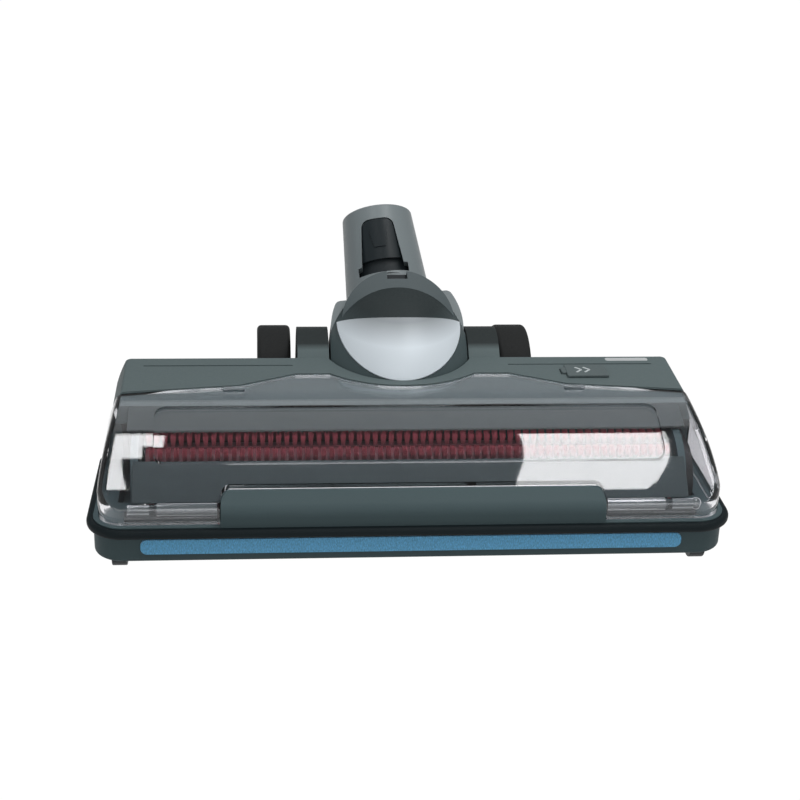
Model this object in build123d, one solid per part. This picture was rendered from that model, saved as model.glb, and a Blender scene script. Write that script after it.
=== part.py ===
# Motorised floor head of a cordless stick vacuum.
# Millimetres, +Z up, X across the head, -Y is the front. The floor is z = 0.
# While it is built, y = 0 is the front face of the base; at the end every piece
# is moved so that the origin lies under the middle of the whole head.
import os
from math import cos, radians, sin, sqrt, tan

from build123d import *

# Base and deck
BASE_HALF_WIDTH = 128.0
REAR_NARROWING = 2.5
BASE_DEPTH = 95.5
FRONT_CORNER_R = 12.0
REAR_CORNER_R = 6.0
SOLE_Z = 6.0
SOLE_ROUND = 1.4
BASE_TOP = 21.4
DECK_TOP = 55.0
DECK_SIDE_STEP = 0.8
DECK_EDGE_R = 1.4
DECK_ROOF = 7.0
DECK_FRONT_Y = 48.0
REAR_DRAFT = 9.0
SIDE_ARCH_R = 66.0
SIDE_ARCH_Z = 26.0
WALL = 2.4
BAY_LENGTH = 56.0
END_BAY = 18.0
PARTING_GAP = 0.2
PANEL_HALF_WIDTH = 77.0
PANEL_SHOULDER_Z = 28.6
PANEL_ROUND = 6.0
PANEL_DEPTH = 3.2
GROOVE_Y = 81.0
GROOVE_WIDTH = 0.9
GROOVE_DEPTH = 0.7
# Clear cover
COVER_INSET = 2.0
COVER_R = 76.2
COVER_CROWN_Y = 60.0
COVER_CROWN_Z = 54.5
COVER_WALL = 2.4
COVER_LIP_Z = 33.6
COVER_GAP = 0.4
COVER_EDGE_R = 4.0
COVER_SIDE_Y = 53.0
COVER_WING_Y = 72.5
COVER_WING_X = 46.0
COVER_WING_OUTER_X = 70.0
COVER_SHOULDER_Y = 61.0
COVER_DRUM_R = 45.0
RECESS_FRONT_Y = 17.0
RECESS_REAR_Y = 45.0
RECESS_END = 6.0
RECESS_DEPTH = 1.0
RECESS_CORNER_R = 5.0
LUG_X = 72.0
LUG_WIDTH = 9.0
LUG_DEPTH = 2.6
LUG_HEIGHT = 1.0
# Front bumper, velour strip and corner lights
BUMPER_PROUD = 2.8
BUMPER_LOW = 17.2
BUMPER_HIGH = 21.0
BUMPER_ROUND = 1.6
BUMPER_REACH_Y = 62.0
STRIP_END = 19.4
STRIP_LOW = 10.0
STRIP_HIGH = 16.4
STRIP_THICK = 1.0
STRIP_CORNER_R = 2.6
LENS_R = 2.2
LENS_THIN_R = 1.7
LENS_Y = 6.9
LENS_Z = 25.9
LENS_FOOT = 2.0
LENS_PANEL_GAP = 1.4
LENS_THIN_LENGTH = 12.0
LENS_END_INSET = 13.0
# Brush roller and its drive
ROLLER_Y = 36.5
ROLLER_Z = 23.5
ROLLER_R = 21.0
ROLLER_END_GAP = 2.5
CORE_R = 15.0
CHAMBER_CLEARANCE = 1.8
CHAMBER_END_WALL = 3.0
TUFT_ROWS = 8
TUFT_THICK = 4.2
TUFT_ROOT = 1.2
TUFT_TIP_DROP = 0.5
TUFT_PITCH = 8.6
TUFT_GAP = 1.1
TUFT_GAP_DEPTH = 3.0
ROLLER_SHAFT_R = 4.0
BEARING_R = 8.0
RUN_CLEARANCE = 0.06
PULLEY_R = 13.0
MOTOR_PULLEY_R = 6.5
BELT_THICK = 1.4
BELT_WIDTH = 4.0
BELT_CLEARANCE = 0.3
BELT_SIDE_GAP = 0.6
MOTOR_Y = 75.0
MOTOR_Z = 30.0
MOTOR_R = 12.5
MOTOR_LENGTH = 46.0
MOTOR_END_GAP = 6.0
MOTOR_SHAFT_R = 2.0
BOARD_LENGTH = 48.0
BOARD_WIDTH = 22.0
BOARD_THICK = 1.6
BOARD_Z = 14.0
# Latch and status light
LATCH_INSET = 51.3
LATCH_Y = 73.4
LATCH_LENGTH = 15.5
LATCH_WIDTH = 5.4
LATCH_HEIGHT = 3.4
LATCH_TRAVEL = 4.0
LATCH_POCKET_DEPTH = 2.4
LATCH_CLEARANCE = 0.3
LATCH_ROUND = 0.6
STATUS_INSET = 27.5
STATUS_LENGTH = 19.0
STATUS_WIDTH = 3.2
STATUS_Y = 86.4
STATUS_DEPTH = 1.6
# Rear wheels and front rollers
WHEEL_R = 27.0
WHEEL_Y = 124.0
WHEEL_INNER_X = 47.0
WHEEL_WIDTH = 15.0
RIM_R = 22.0
TYRE_ROUND = 2.0
AXLE_R = 4.0
AXLE_HEAD_R = 6.5
AXLE_HEAD = 1.6
FOOT_R = 7.0
FOOT_Y = 10.0
FOOT_INSET = 10.5
FOOT_WIDTH = 6.0
FOOT_PIN_R = 1.0
FOOT_PIN_SEAT = 1.6
FOOT_GAP = 0.4
# Tilting drum: an ellipse turned about the tilt axis, flat at both ends
TILT_Y = 105.0
TILT_Z = 40.0
DRUM_R = 42.0
DRUM_HALF = 35.5
HUB_FACE_X = 30.0
DRUM_GAP = 0.8
DRUM_CORE_R = 32.0
DRUM_HUB_R = 22.0
DRUM_FRONT_DEG = -18.0
DRUM_REAR_DEG = 152.0
ARM_THICK = 13.7
ARM_R = 21.5
AXLE_BOSS_R = 9.5
TILT_PIN_R = 6.0
TILT_PIN_SEAT = 1.6
DUCT_R = 11.0
DUCT_Z = 27.0
# Neck: angles in degrees, heights above the swivel axis
NECK_TILT = 42.0
NECK_LEAN = 6.0
NECK_TURN = -8.0
SWIVEL_RISE = 16.0
BARREL_R = 29.5
BARREL_HALF = 18.2
BARREL_GAP = 0.5
SHOULDER_RISE = 15.0
SLOT_SIDE_Z = 10.0
SHOULDER_ROUND = 3.0
SWIVEL_PIN_R = 5.0
SWIVEL_PIN_LENGTH = 5.0
COLLAR_R = 25.0
COLLAR_RIM_Y = 23.5
COLLAR_NOSE_Y = 29.5
COLLAR_NOSE_R = 13.0
NOTCH_WIDTH = 9.0
NOTCH_HEIGHT = 5.0
CATCH_GAP = 0.1
CATCH_SUNK = 1.6
NECK_LENGTH = 60.5
TUBE_LOW_R = 20.8
TUBE_TOP_R = 16.0
TUBE_RIM_R = 0.8
SOCKET_R = 13.0
SLEEVE_WALL = 1.0
SOCKET_DEPTH = 34.0
WINDOW_LOW = 26.8
WINDOW_STEP = 31.2
WINDOW_HIGH = 53.6
WINDOW_TOP_HALF = 7.0
WINDOW_STEP_HALF = 9.5
WINDOW_FOOT_HALF = 11.3
WINDOW_ROUND = 3.6
BUTTON_LOW = 34.0
BUTTON_THICK = 1.4
BUTTON_TRAVEL = 0.8
BUTTON_GAP = 0.4
PAD_LOW = 39.8
PAD_HIGH = 47.6
PAD_LOW_HALF = 2.6
PAD_HIGH_HALF = 4.1
PAD_PROUD = 0.5
# Silver plate on the drum
PLATE_PROUD = 0.6
PLATE_SUNK = 0.8
PLATE_HALF_WIDTH = 27.2
PLATE_TOP = 17.0
PLATE_SAG = 4.5
PLATE_DROP = 32.6
PLATE_GAP = 0.15
GLUE_LINE = 0.05
SCREW_R = 1.6
SCREW_HEAD_R = 3.0
SCREW_LENGTH = 24.0

# Places that follow from the sizes above
COVER_AXIS_Z = COVER_CROWN_Z - COVER_R
CHAMBER_R = ROLLER_R + CHAMBER_CLEARANCE
CHAMBER_HALF = BASE_HALF_WIDTH - END_BAY
CHEEK_OUTER_X = CHAMBER_HALF + CHAMBER_END_WALL
ROLLER_HALF = CHAMBER_HALF - ROLLER_END_GAP
RECESS_HALF_WIDTH = CHAMBER_HALF - RECESS_END
BELT_X0 = CHEEK_OUTER_X + BELT_SIDE_GAP
BELT_X1 = BELT_X0 + BELT_WIDTH
BAY_INNER_X = CHAMBER_HALF - BAY_LENGTH
BAY_OUTER_X = BELT_X1 + BELT_SIDE_GAP + BELT_CLEARANCE
BAY_FRONT_Y = ROLLER_Y + CHAMBER_R + WALL
DECK_REAR_Y = BASE_DEPTH - (DECK_TOP - BASE_TOP) * tan(radians(REAR_DRAFT))
BAY_REAR_Y = DECK_REAR_Y - WALL
MOTOR_X1 = CHAMBER_HALF - MOTOR_END_GAP
MOTOR_X0 = MOTOR_X1 - MOTOR_LENGTH
BOARD_X0 = BAY_INNER_X + WALL
BOARD_X1 = BOARD_X0 + BOARD_LENGTH
BOARD_Y0 = BAY_FRONT_Y + WALL
BOARD_Y1 = BOARD_Y0 + BOARD_WIDTH
STRIP_HALF_LENGTH = BASE_HALF_WIDTH - STRIP_END
LENS_INNER_X = PANEL_HALF_WIDTH + LENS_PANEL_GAP
LENS_OUTER_X = BASE_HALF_WIDTH - LENS_END_INSET
LENS_STEP_X = LENS_OUTER_X - LENS_THIN_LENGTH
LATCH_X = BASE_HALF_WIDTH - LATCH_INSET
STATUS_X = BASE_HALF_WIDTH - STATUS_INSET
FOOT_X = BASE_HALF_WIDTH - FOOT_INSET
ARM_INNER_X = HUB_FACE_X + DRUM_GAP
ARM_OUTER_X = ARM_INNER_X + ARM_THICK
ROOM_TOP = DECK_TOP + WALL
SLOT_HALF = BARREL_HALF + BARREL_GAP
NECK_FRAME = Location((0, TILT_Y, TILT_Z), (-NECK_TILT, 0, 0))
SWIVEL_FRAME = NECK_FRAME * Pos(0, 0, SWIVEL_RISE) * Rot(0, -NECK_LEAN, 0)
DRUM_CENTRE = Pos(0, TILT_Y, TILT_Z)

PIECES = {}


def keep(name, shape):
    PIECES[name] = shape


def block(x0, x1, y0, y1, z0, z1):
    return Pos((x0 + x1) / 2, (y0 + y1) / 2, (z0 + z1) / 2) * Box(x1 - x0, y1 - y0, z1 - z0)


def x_rod(radius, x0, x1, y, z):
    return Pos((x0 + x1) / 2, y, z) * Rot(0, 90, 0) * Cylinder(radius, x1 - x0)


def y_rod(radius, y0, y1, z):
    return Pos(0, (y0 + y1) / 2, z) * Rot(90, 0, 0) * Cylinder(radius, y1 - y0)


def mirror_x(shape):
    return mirror(shape, about=Plane.YZ)


def outline(points):
    return make_face(Polyline(*points, close=True))


def across(face, half):
    # Side view drawn as (y, z), extruded to both sides
    return extrude(Plane.YZ * face, half, dir=(1, 0, 0), both=True)


def from_front(face, reach):
    # Front view drawn as (x, z), extruded towards the front
    return extrude(Plane.XZ * face, reach, dir=(0, -1, 0))


# Forms that several pieces share
def plan(inset, low, high, rear_round=REAR_CORNER_R):
    # Outline of the base seen from above, moved inwards by inset
    half = BASE_HALF_WIDTH - inset
    rear_half = half - REAR_NARROWING
    rear = BASE_DEPTH - inset
    face = outline([(-half, inset), (half, inset), (rear_half, rear), (-rear_half, rear)])
    face = fillet(face.vertices().sort_by(Axis.Y)[:2], FRONT_CORNER_R - inset)
    if rear_round:
        face = fillet(face.vertices().group_by(Axis.Y)[-1], rear_round)
    return extrude(Pos(0, 0, low) * face, high - low, dir=(0, 0, 1))


def crown(inset, low, high):
    # Upper body: upright at first, then the sides lean in on an arc
    half = BASE_HALF_WIDTH - COVER_INSET - inset
    radius = SIDE_ARCH_R - inset
    middle_z = (SIDE_ARCH_Z + high) / 2
    middle = half - radius + sqrt(radius**2 - (middle_z - SIDE_ARCH_Z) ** 2)
    top = half - radius + sqrt(radius**2 - (high - SIDE_ARCH_Z) ** 2)
    face = make_face(
        [
            Polyline((-half, SIDE_ARCH_Z), (-half, low), (half, low), (half, SIDE_ARCH_Z)),
            ThreePointArc((half, SIDE_ARCH_Z), (middle, middle_z), (top, high)),
            Line((top, high), (-top, high)),
            ThreePointArc((-top, high), (-middle, middle_z), (-half, SIDE_ARCH_Z)),
        ]
    )
    arch = extrude(Plane.XZ * face, 2 * BASE_DEPTH, dir=(0, 1, 0), both=True)
    return arch & plan(COVER_INSET + inset, low, high, rear_round=0)


def cover_front_y(z, radius):
    return COVER_CROWN_Y - sqrt(radius**2 - (z - COVER_AXIS_Z) ** 2)


def under_cover(radius, low, rear):
    # Everything under a roof that curves down to the front with the given radius
    foot = cover_front_y(low, radius)
    middle = (foot + COVER_CROWN_Y) / 2
    middle_z = COVER_AXIS_Z + sqrt(radius**2 - (COVER_CROWN_Y - middle) ** 2)
    roof = COVER_AXIS_Z + radius
    face = make_face(
        [
            ThreePointArc((foot, low), (middle, middle_z), (COVER_CROWN_Y, roof)),
            Polyline((COVER_CROWN_Y, roof), (rear, roof), (rear, low), (foot, low)),
        ]
    )
    return across(face, BASE_HALF_WIDTH + WALL)


def cover_footprint(grow, low, high):
    # Plan of the cover: two wings run back beside the drum, which has a round bite
    side = BASE_HALF_WIDTH + BUMPER_PROUD
    shoulder = COVER_SHOULDER_Y + grow
    wing = COVER_WING_Y + grow
    right = [
        (side, -BUMPER_PROUD),
        (side, COVER_SIDE_Y + grow),
        (COVER_WING_OUTER_X, shoulder),
        (COVER_WING_X, wing),
    ]
    left = [(-x, y) for x, y in reversed(right)]
    face = outline(right + left)
    corners = face.vertices().filter_by_position(Axis.Y, shoulder, wing)
    face = fillet(corners, COVER_EDGE_R)
    face -= Pos(0, TILT_Y) * Circle(COVER_DRUM_R - grow)
    return extrude(Pos(0, 0, low) * face, high - low, dir=(0, 0, 1))


def drum_form(grow):
    # Ball drawn in across the head, between the two hub faces
    radius = DRUM_R + grow
    ball = scale(Sphere(radius), by=((DRUM_HALF + grow) / radius, 1, 1))
    return ball & Box(2 * (HUB_FACE_X + max(grow, 0)), 3 * radius, 3 * radius)


def belt_slab(grow):
    circles = Pos(ROLLER_Y, ROLLER_Z) * Circle(PULLEY_R + grow)
    circles += Pos(MOTOR_Y, MOTOR_Z) * Circle(MOTOR_PULLEY_R + grow)
    face = Plane.YZ * make_hull(circles.edges())
    return extrude(Pos(BELT_X0, 0, 0) * face, BELT_WIDTH, dir=(1, 0, 0))


DRUM_SEAT = DRUM_CENTRE * drum_form(DRUM_GAP)
DUCT_PASSAGE = y_rod(DUCT_R + DRUM_GAP, ROLLER_Y, TILT_Y, DUCT_Z)
CHAMBER = x_rod(CHAMBER_R, -CHAMBER_HALF, CHAMBER_HALF, ROLLER_Y, ROLLER_Z)


# Base
def base_housing():
    body = plan(0, SOLE_Z, BASE_TOP)
    body = fillet(body.edges().group_by(Axis.Z)[0], SOLE_ROUND)
    body += front_panel()
    upper = block(-BASE_HALF_WIDTH, BASE_HALF_WIDTH, 0, BASE_DEPTH, BASE_TOP, DECK_TOP)
    for side in (-1, 1):
        cheek = x_rod(ROLLER_R, *sorted((side * CHAMBER_HALF, side * CHEEK_OUTER_X)), ROLLER_Y, ROLLER_Z)
        body += cheek & upper
    body -= CHAMBER
    floor = SOLE_Z + WALL
    belt_bay_front = ROLLER_Y - PULLEY_R - WALL
    for side in (-1, 1):
        x0, x1 = sorted((side * BAY_INNER_X, side * CHAMBER_HALF))
        body -= block(x0, x1, BAY_FRONT_Y, BAY_REAR_Y, floor, BASE_TOP)
        x0, x1 = sorted((side * CHEEK_OUTER_X, side * BAY_OUTER_X))
        body -= block(x0, x1, belt_bay_front, BAY_REAR_Y, floor, BASE_TOP)
        x0, x1 = sorted((side * CHAMBER_HALF, side * CHEEK_OUTER_X))
        body -= x_rod(BEARING_R, x0, x1, ROLLER_Y, ROLLER_Z)
        body -= foot_pocket(side)
    for x in (MOTOR_X0 + WALL, MOTOR_X1 - 2 * WALL):
        body += block(x, x + WALL, MOTOR_Y - MOTOR_R / 2, MOTOR_Y + MOTOR_R / 2, SOLE_Z + WALL / 2, BASE_TOP)
    body -= x_rod(MOTOR_R, MOTOR_X0, MOTOR_X1, MOTOR_Y, MOTOR_Z)
    for x in (-BOARD_X1 + WALL, -BOARD_X0 - 2 * WALL):
        body += block(x, x + WALL, BOARD_Y0, BOARD_Y1, SOLE_Z + WALL / 2, BOARD_Z)
    body -= DRUM_SEAT
    body -= DUCT_PASSAGE
    for screw in housing_screws().solids():
        body -= screw
    return body


def front_panel():
    # Raised middle of the front: rises, rolls over a soft shoulder, meets the cover's lip
    lip_y = cover_front_y(COVER_LIP_Z, COVER_R)
    back = lip_y + PANEL_DEPTH
    face = outline(
        [
            (0, BUMPER_LOW),
            (0, PANEL_SHOULDER_Z),
            (lip_y, COVER_LIP_Z),
            (back, COVER_LIP_Z),
            (back, BUMPER_LOW),
        ]
    )
    shoulder = face.vertices().sort_by_distance((0, PANEL_SHOULDER_Z))[0]
    face = fillet(shoulder, PANEL_ROUND)
    rounded = RectangleRounded(2 * PANEL_HALF_WIDTH, 2 * COVER_LIP_Z, COVER_EDGE_R)
    return across(face, PANEL_HALF_WIDTH) & extrude(Plane.XZ * rounded, ROLLER_Y, dir=(0, 1, 0))


def foot_pocket(side):
    half = FOOT_WIDTH / 2 + FOOT_GAP
    x = side * FOOT_X
    reach = FOOT_R + FOOT_GAP
    pocket = x_rod(reach, x - half, x + half, FOOT_Y, FOOT_R)
    slot = block(x - half, x + half, FOOT_Y - reach, FOOT_Y + reach, 0, FOOT_R)
    return pocket + slot + foot_pin(side)


def foot_pin(side):
    half = FOOT_WIDTH / 2 + FOOT_GAP + FOOT_PIN_SEAT
    return x_rod(FOOT_PIN_R, side * FOOT_X - half, side * FOOT_X + half, FOOT_Y, FOOT_R)


def front_roller(side):
    half = FOOT_WIDTH / 2
    x = side * FOOT_X
    body = x_rod(FOOT_R, x - half, x + half, FOOT_Y, FOOT_R)
    body = fillet(body.edges(), FOOT_GAP)
    return body - x_rod(FOOT_PIN_R + RUN_CLEARANCE, x - half, x + half, FOOT_Y, FOOT_R)


def housing_screws():
    screws = []
    y = BAY_REAR_Y - SCREW_HEAD_R
    for side in (-1, 1):
        for x in (BAY_INNER_X - 2 * SCREW_HEAD_R, BAY_OUTER_X + SCREW_HEAD_R):
            shank = Pos(side * x, y, SOLE_Z + SCREW_LENGTH / 2) * Cylinder(SCREW_R, SCREW_LENGTH)
            head = Pos(side * x, y, SOLE_Z + WALL / 2) * Cylinder(SCREW_HEAD_R, WALL)
            screws.append(shank + head)
    return Compound(screws)


# Deck with the two arms that carry the drum and the wheels
def rear_deck():
    low = BASE_TOP + PARTING_GAP
    body = crown(DECK_SIDE_STEP, low, DECK_TOP)
    behind = [(BASE_DEPTH, BASE_TOP), (DECK_REAR_Y, DECK_TOP), (BASE_DEPTH, DECK_TOP + WALL)]
    body -= across(outline(behind), BASE_HALF_WIDTH)
    body -= block(-BASE_HALF_WIDTH, BASE_HALF_WIDTH, 0, DECK_FRONT_Y, 0, ROOM_TOP)
    corners = [e for e in body.edges() if e.center().Y > DECK_REAR_Y and abs(e.center().X) > CHEEK_OUTER_X]
    body = fillet([e for e in corners if e.bounding_box().size.Z > WALL], 2 * DECK_EDGE_R)
    rim = [e for e in body.edges().group_by(Axis.Z)[-1] if e.center().Y > DECK_FRONT_Y]
    body = fillet(rim, DECK_EDGE_R)
    footprint = cover_footprint(COVER_GAP, low, ROOM_TOP)
    body -= footprint - under_cover(COVER_R - COVER_WALL - COVER_GAP, low, BASE_DEPTH)
    side_room = plan(-WALL, low, ROOM_TOP) - crown(COVER_WALL + COVER_GAP, low, ROOM_TOP)
    body -= footprint & side_room
    body -= x_rod(CHAMBER_R, -BASE_HALF_WIDTH, BASE_HALF_WIDTH, ROLLER_Y, ROLLER_Z)
    for side in (-1, 1):
        x0, x1 = sorted((side * BAY_INNER_X, side * CHAMBER_HALF))
        body -= block(x0, x1, BAY_FRONT_Y, BAY_REAR_Y, low, DECK_TOP - DECK_ROOF)
        x0, x1 = sorted((side * (CHAMBER_HALF - WALL), side * BAY_OUTER_X))
        body -= block(x0, x1, DECK_FRONT_Y, BAY_REAR_Y, low, MOTOR_Z + MOTOR_R)
        x0, x1 = sorted((side * (ARM_OUTER_X + WALL), side * (CHEEK_OUTER_X - WALL)))
        body -= block(x0, x1, GROOVE_Y, GROOVE_Y + GROOVE_WIDTH, DECK_TOP - GROOVE_DEPTH, DECK_TOP)
        body += arm(side)
    body -= DRUM_SEAT
    body -= DUCT_PASSAGE
    body -= x_rod(TILT_PIN_R + RUN_CLEARANCE, -ARM_OUTER_X, ARM_OUTER_X, TILT_Y, TILT_Z)
    for side in (-1, 1):
        body -= rear_axle(side)
    reach = LATCH_LENGTH / 2 + LATCH_CLEARANCE
    half = LATCH_WIDTH / 2 + LATCH_CLEARANCE
    x1 = LATCH_X + reach + LATCH_TRAVEL
    low = DECK_TOP - LATCH_POCKET_DEPTH
    body -= block(LATCH_X - reach, x1, LATCH_Y - half, LATCH_Y + half, low, DECK_TOP)
    body -= status_lens()
    for screw in housing_screws().solids():
        body -= screw
    return body


def arm(side):
    # Side arm behind the deck: round tower about the tilt axis, boss for the wheel axle
    tower = Pos(TILT_Y, TILT_Z) * Circle(ARM_R)
    boss = Pos(WHEEL_Y, WHEEL_R) * Circle(AXLE_BOSS_R)
    low = BASE_TOP + PARTING_GAP
    high = DECK_TOP - DECK_EDGE_R
    root = [(BAY_REAR_Y, low), (TILT_Y, TILT_Z - ARM_R), (TILT_Y, TILT_Z + ARM_R), (BAY_REAR_Y, high)]
    face = make_hull((tower + boss).edges()) + outline(root)
    x0 = ARM_INNER_X if side > 0 else -ARM_OUTER_X
    body = extrude(Pos(x0, 0, 0) * (Plane.YZ * face), ARM_THICK, dir=(1, 0, 0))
    return body - block(-ARM_OUTER_X, ARM_OUTER_X, 0, BASE_DEPTH + 2 * PARTING_GAP, 0, low)


def rear_axle(side):
    boss_end = WHEEL_INNER_X - PARTING_GAP
    outer = WHEEL_INNER_X + WHEEL_WIDTH + PARTING_GAP
    body = x_rod(AXLE_R, ARM_INNER_X + WALL, outer, WHEEL_Y, WHEEL_R)
    body += x_rod(AXLE_HEAD_R, ARM_OUTER_X, boss_end, WHEEL_Y, WHEEL_R)
    body += x_rod(AXLE_HEAD_R, outer, outer + AXLE_HEAD, WHEEL_Y, WHEEL_R)
    return body if side > 0 else mirror_x(body)


def status_lens():
    x0 = STATUS_X - STATUS_LENGTH / 2
    y0 = STATUS_Y - STATUS_WIDTH / 2
    lens = block(x0, x0 + STATUS_LENGTH, y0, y0 + STATUS_WIDTH, DECK_TOP - STATUS_DEPTH, DECK_TOP)
    return fillet(lens.edges().filter_by(Axis.Z), STATUS_WIDTH / 3)


def cover_latch():
    low = DECK_TOP - LATCH_POCKET_DEPTH
    body = Pos(LATCH_X, LATCH_Y, low + LATCH_HEIGHT / 2) * Box(LATCH_LENGTH, LATCH_WIDTH, LATCH_HEIGHT)
    body = fillet(body.edges().filter_by(Axis.Z), 2 * LATCH_ROUND)
    return fillet(body.edges().group_by(Axis.Z)[-1], LATCH_ROUND)


# Clear cover and trim
def clear_cover():
    low = BASE_TOP + PARTING_GAP
    outer = under_cover(COVER_R, low, BASE_DEPTH) & crown(0, low, ROOM_TOP)
    rim_x = BASE_HALF_WIDTH - COVER_INSET - FRONT_CORNER_R
    rims = outer.edges().filter_by_position(Axis.Z, SIDE_ARCH_Z, DECK_TOP)
    rims = [e for e in rims if abs(e.center().X) > rim_x and e.center().Y < COVER_CROWN_Y]
    outer = fillet([e for e in rims if e.length > COVER_EDGE_R], COVER_EDGE_R)
    inner = under_cover(COVER_R - COVER_WALL, 0, BASE_DEPTH) & crown(COVER_WALL, low - WALL, ROOM_TOP)
    body = (outer - inner) & cover_footprint(0, 0, ROOM_TOP)
    step = RectangleRounded(2 * (PANEL_HALF_WIDTH + COVER_GAP), 2 * (COVER_LIP_Z + COVER_GAP), COVER_EDGE_R)
    body -= extrude(Plane.XZ * step, ROLLER_Y, dir=(0, 1, 0), both=True)
    depth = RECESS_REAR_Y - RECESS_FRONT_Y
    recess = RectangleRounded(2 * RECESS_HALF_WIDTH, depth, RECESS_CORNER_R)
    recess = extrude(Pos(0, RECESS_FRONT_Y + depth / 2) * recess, ROOM_TOP, dir=(0, 0, 1))
    body -= recess - under_cover(COVER_R - RECESS_DEPTH, 0, BASE_DEPTH)
    y0 = COVER_SHOULDER_Y - 2 * LUG_DEPTH
    for x in (-LUG_X - LUG_WIDTH / 2, LUG_X - LUG_WIDTH / 2):
        low, high = COVER_CROWN_Z - COVER_WALL / 2, COVER_CROWN_Z + LUG_HEIGHT
        lug = block(x, x + LUG_WIDTH, y0, y0 + LUG_DEPTH, low, high)
        body += fillet(lug.edges().filter_by(Axis.Z), LUG_DEPTH / 3)
    return body


def front_bumper():
    outer = plan(-BUMPER_PROUD, BUMPER_LOW, BUMPER_HIGH)
    outer = fillet(outer.edges().group_by(Axis.Z)[0] + outer.edges().group_by(Axis.Z)[-1], BUMPER_ROUND)
    body = outer - plan(0, BUMPER_LOW, BUMPER_HIGH)
    reach = BASE_HALF_WIDTH + 2 * BUMPER_PROUD
    return body & block(-reach, reach, -2 * BUMPER_PROUD, BUMPER_REACH_Y, 0, DECK_TOP)


def velour_strip():
    face = RectangleRounded(2 * STRIP_HALF_LENGTH, STRIP_HIGH - STRIP_LOW, STRIP_CORNER_R)
    return from_front(Pos(0, (STRIP_HIGH + STRIP_LOW) / 2) * face, STRIP_THICK)


def corner_light(side):
    # Light bar with a thinner tail and a ball end, standing on a foot
    body = x_rod(LENS_R, LENS_INNER_X, LENS_STEP_X, LENS_Y, LENS_Z)
    body += x_rod(LENS_THIN_R, LENS_STEP_X, LENS_OUTER_X, LENS_Y, LENS_Z)
    body += Pos(LENS_OUTER_X, LENS_Y, LENS_Z) * Sphere(LENS_R)
    half = LENS_FOOT / 2
    body += block(LENS_INNER_X, LENS_OUTER_X, LENS_Y - half, LENS_Y + half, BASE_TOP, LENS_Z)
    return body if side > 0 else mirror_x(body)


# Brush roller and its drive
def roller_core():
    body = x_rod(CORE_R, -ROLLER_HALF, ROLLER_HALF, ROLLER_Y, ROLLER_Z)
    return body + x_rod(ROLLER_SHAFT_R, -CHEEK_OUTER_X, BELT_X1 + BELT_CLEARANCE, ROLLER_Y, ROLLER_Z)


def bristle_tufts():
    # Rows of bristles along the core, combed into tufts by shallow gaps
    half = TUFT_THICK / 2
    row = block(-ROLLER_HALF, ROLLER_HALF, -half, half, CORE_R - TUFT_ROOT, ROLLER_R - TUFT_TIP_DROP)
    count = int(2 * ROLLER_HALF / TUFT_PITCH)
    start = -TUFT_PITCH * (count - 1) / 2
    top = ROLLER_R - TUFT_GAP_DEPTH
    for i in range(count):
        x = start + i * TUFT_PITCH
        row -= block(x - TUFT_GAP / 2, x + TUFT_GAP / 2, -TUFT_THICK, TUFT_THICK, top, ROLLER_R)
    row -= x_rod(CORE_R, -ROLLER_HALF, ROLLER_HALF, 0, 0)
    rows = []
    for i in range(TUFT_ROWS):
        rows.append(Pos(0, ROLLER_Y, ROLLER_Z) * Rot(360 * i / TUFT_ROWS, 0, 0) * row)
    return Compound(rows)


def roller_pulley():
    body = x_rod(PULLEY_R, BELT_X0, BELT_X1, ROLLER_Y, ROLLER_Z)
    return body - x_rod(ROLLER_SHAFT_R, BELT_X0, BELT_X1, ROLLER_Y, ROLLER_Z)


def bearing(side):
    x0, x1 = sorted((side * CHAMBER_HALF, side * CHEEK_OUTER_X))
    body = x_rod(BEARING_R, x0, x1, ROLLER_Y, ROLLER_Z)
    return body - x_rod(ROLLER_SHAFT_R + RUN_CLEARANCE, x0, x1, ROLLER_Y, ROLLER_Z)


def drive_belt():
    return belt_slab(BELT_CLEARANCE + BELT_THICK) - belt_slab(BELT_CLEARANCE)


def motor():
    body = x_rod(MOTOR_R, MOTOR_X0, MOTOR_X1, MOTOR_Y, MOTOR_Z)
    body = fillet(body.edges(), MOTOR_SHAFT_R)
    return body - x_rod(MOTOR_SHAFT_R + RUN_CLEARANCE, MOTOR_X1 - MOTOR_R, MOTOR_X1, MOTOR_Y, MOTOR_Z)


def motor_pulley():
    body = x_rod(MOTOR_SHAFT_R, MOTOR_X1 - MOTOR_R + WALL, BELT_X1, MOTOR_Y, MOTOR_Z)
    return body + x_rod(MOTOR_PULLEY_R, BELT_X0, BELT_X1, MOTOR_Y, MOTOR_Z)


def circuit_board():
    return block(-BOARD_X1, -BOARD_X0, BOARD_Y0, BOARD_Y1, BOARD_Z, BOARD_Z + BOARD_THICK)


# Rear wheels
def wheel_rim(side):
    x0 = WHEEL_INNER_X
    x1 = WHEEL_INNER_X + WHEEL_WIDTH
    body = x_rod(RIM_R, x0, x1, WHEEL_Y, WHEEL_R)
    dish = x_rod(RIM_R - WALL, x1 - WALL, x1, WHEEL_Y, WHEEL_R)
    dish -= x_rod(AXLE_HEAD_R + WALL, x1 - WALL, x1, WHEEL_Y, WHEEL_R)
    body -= dish
    body -= x_rod(AXLE_R + RUN_CLEARANCE, x0, x1, WHEEL_Y, WHEEL_R)
    return body if side > 0 else mirror_x(body)


def wheel_tyre(side):
    x0 = WHEEL_INNER_X
    x1 = WHEEL_INNER_X + WHEEL_WIDTH
    body = x_rod(WHEEL_R, x0, x1, WHEEL_Y, WHEEL_R)
    body = fillet(body.edges(), TYRE_ROUND)
    body -= x_rod(RIM_R, x0, x1, WHEEL_Y, WHEEL_R)
    return body if side > 0 else mirror_x(body)


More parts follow.
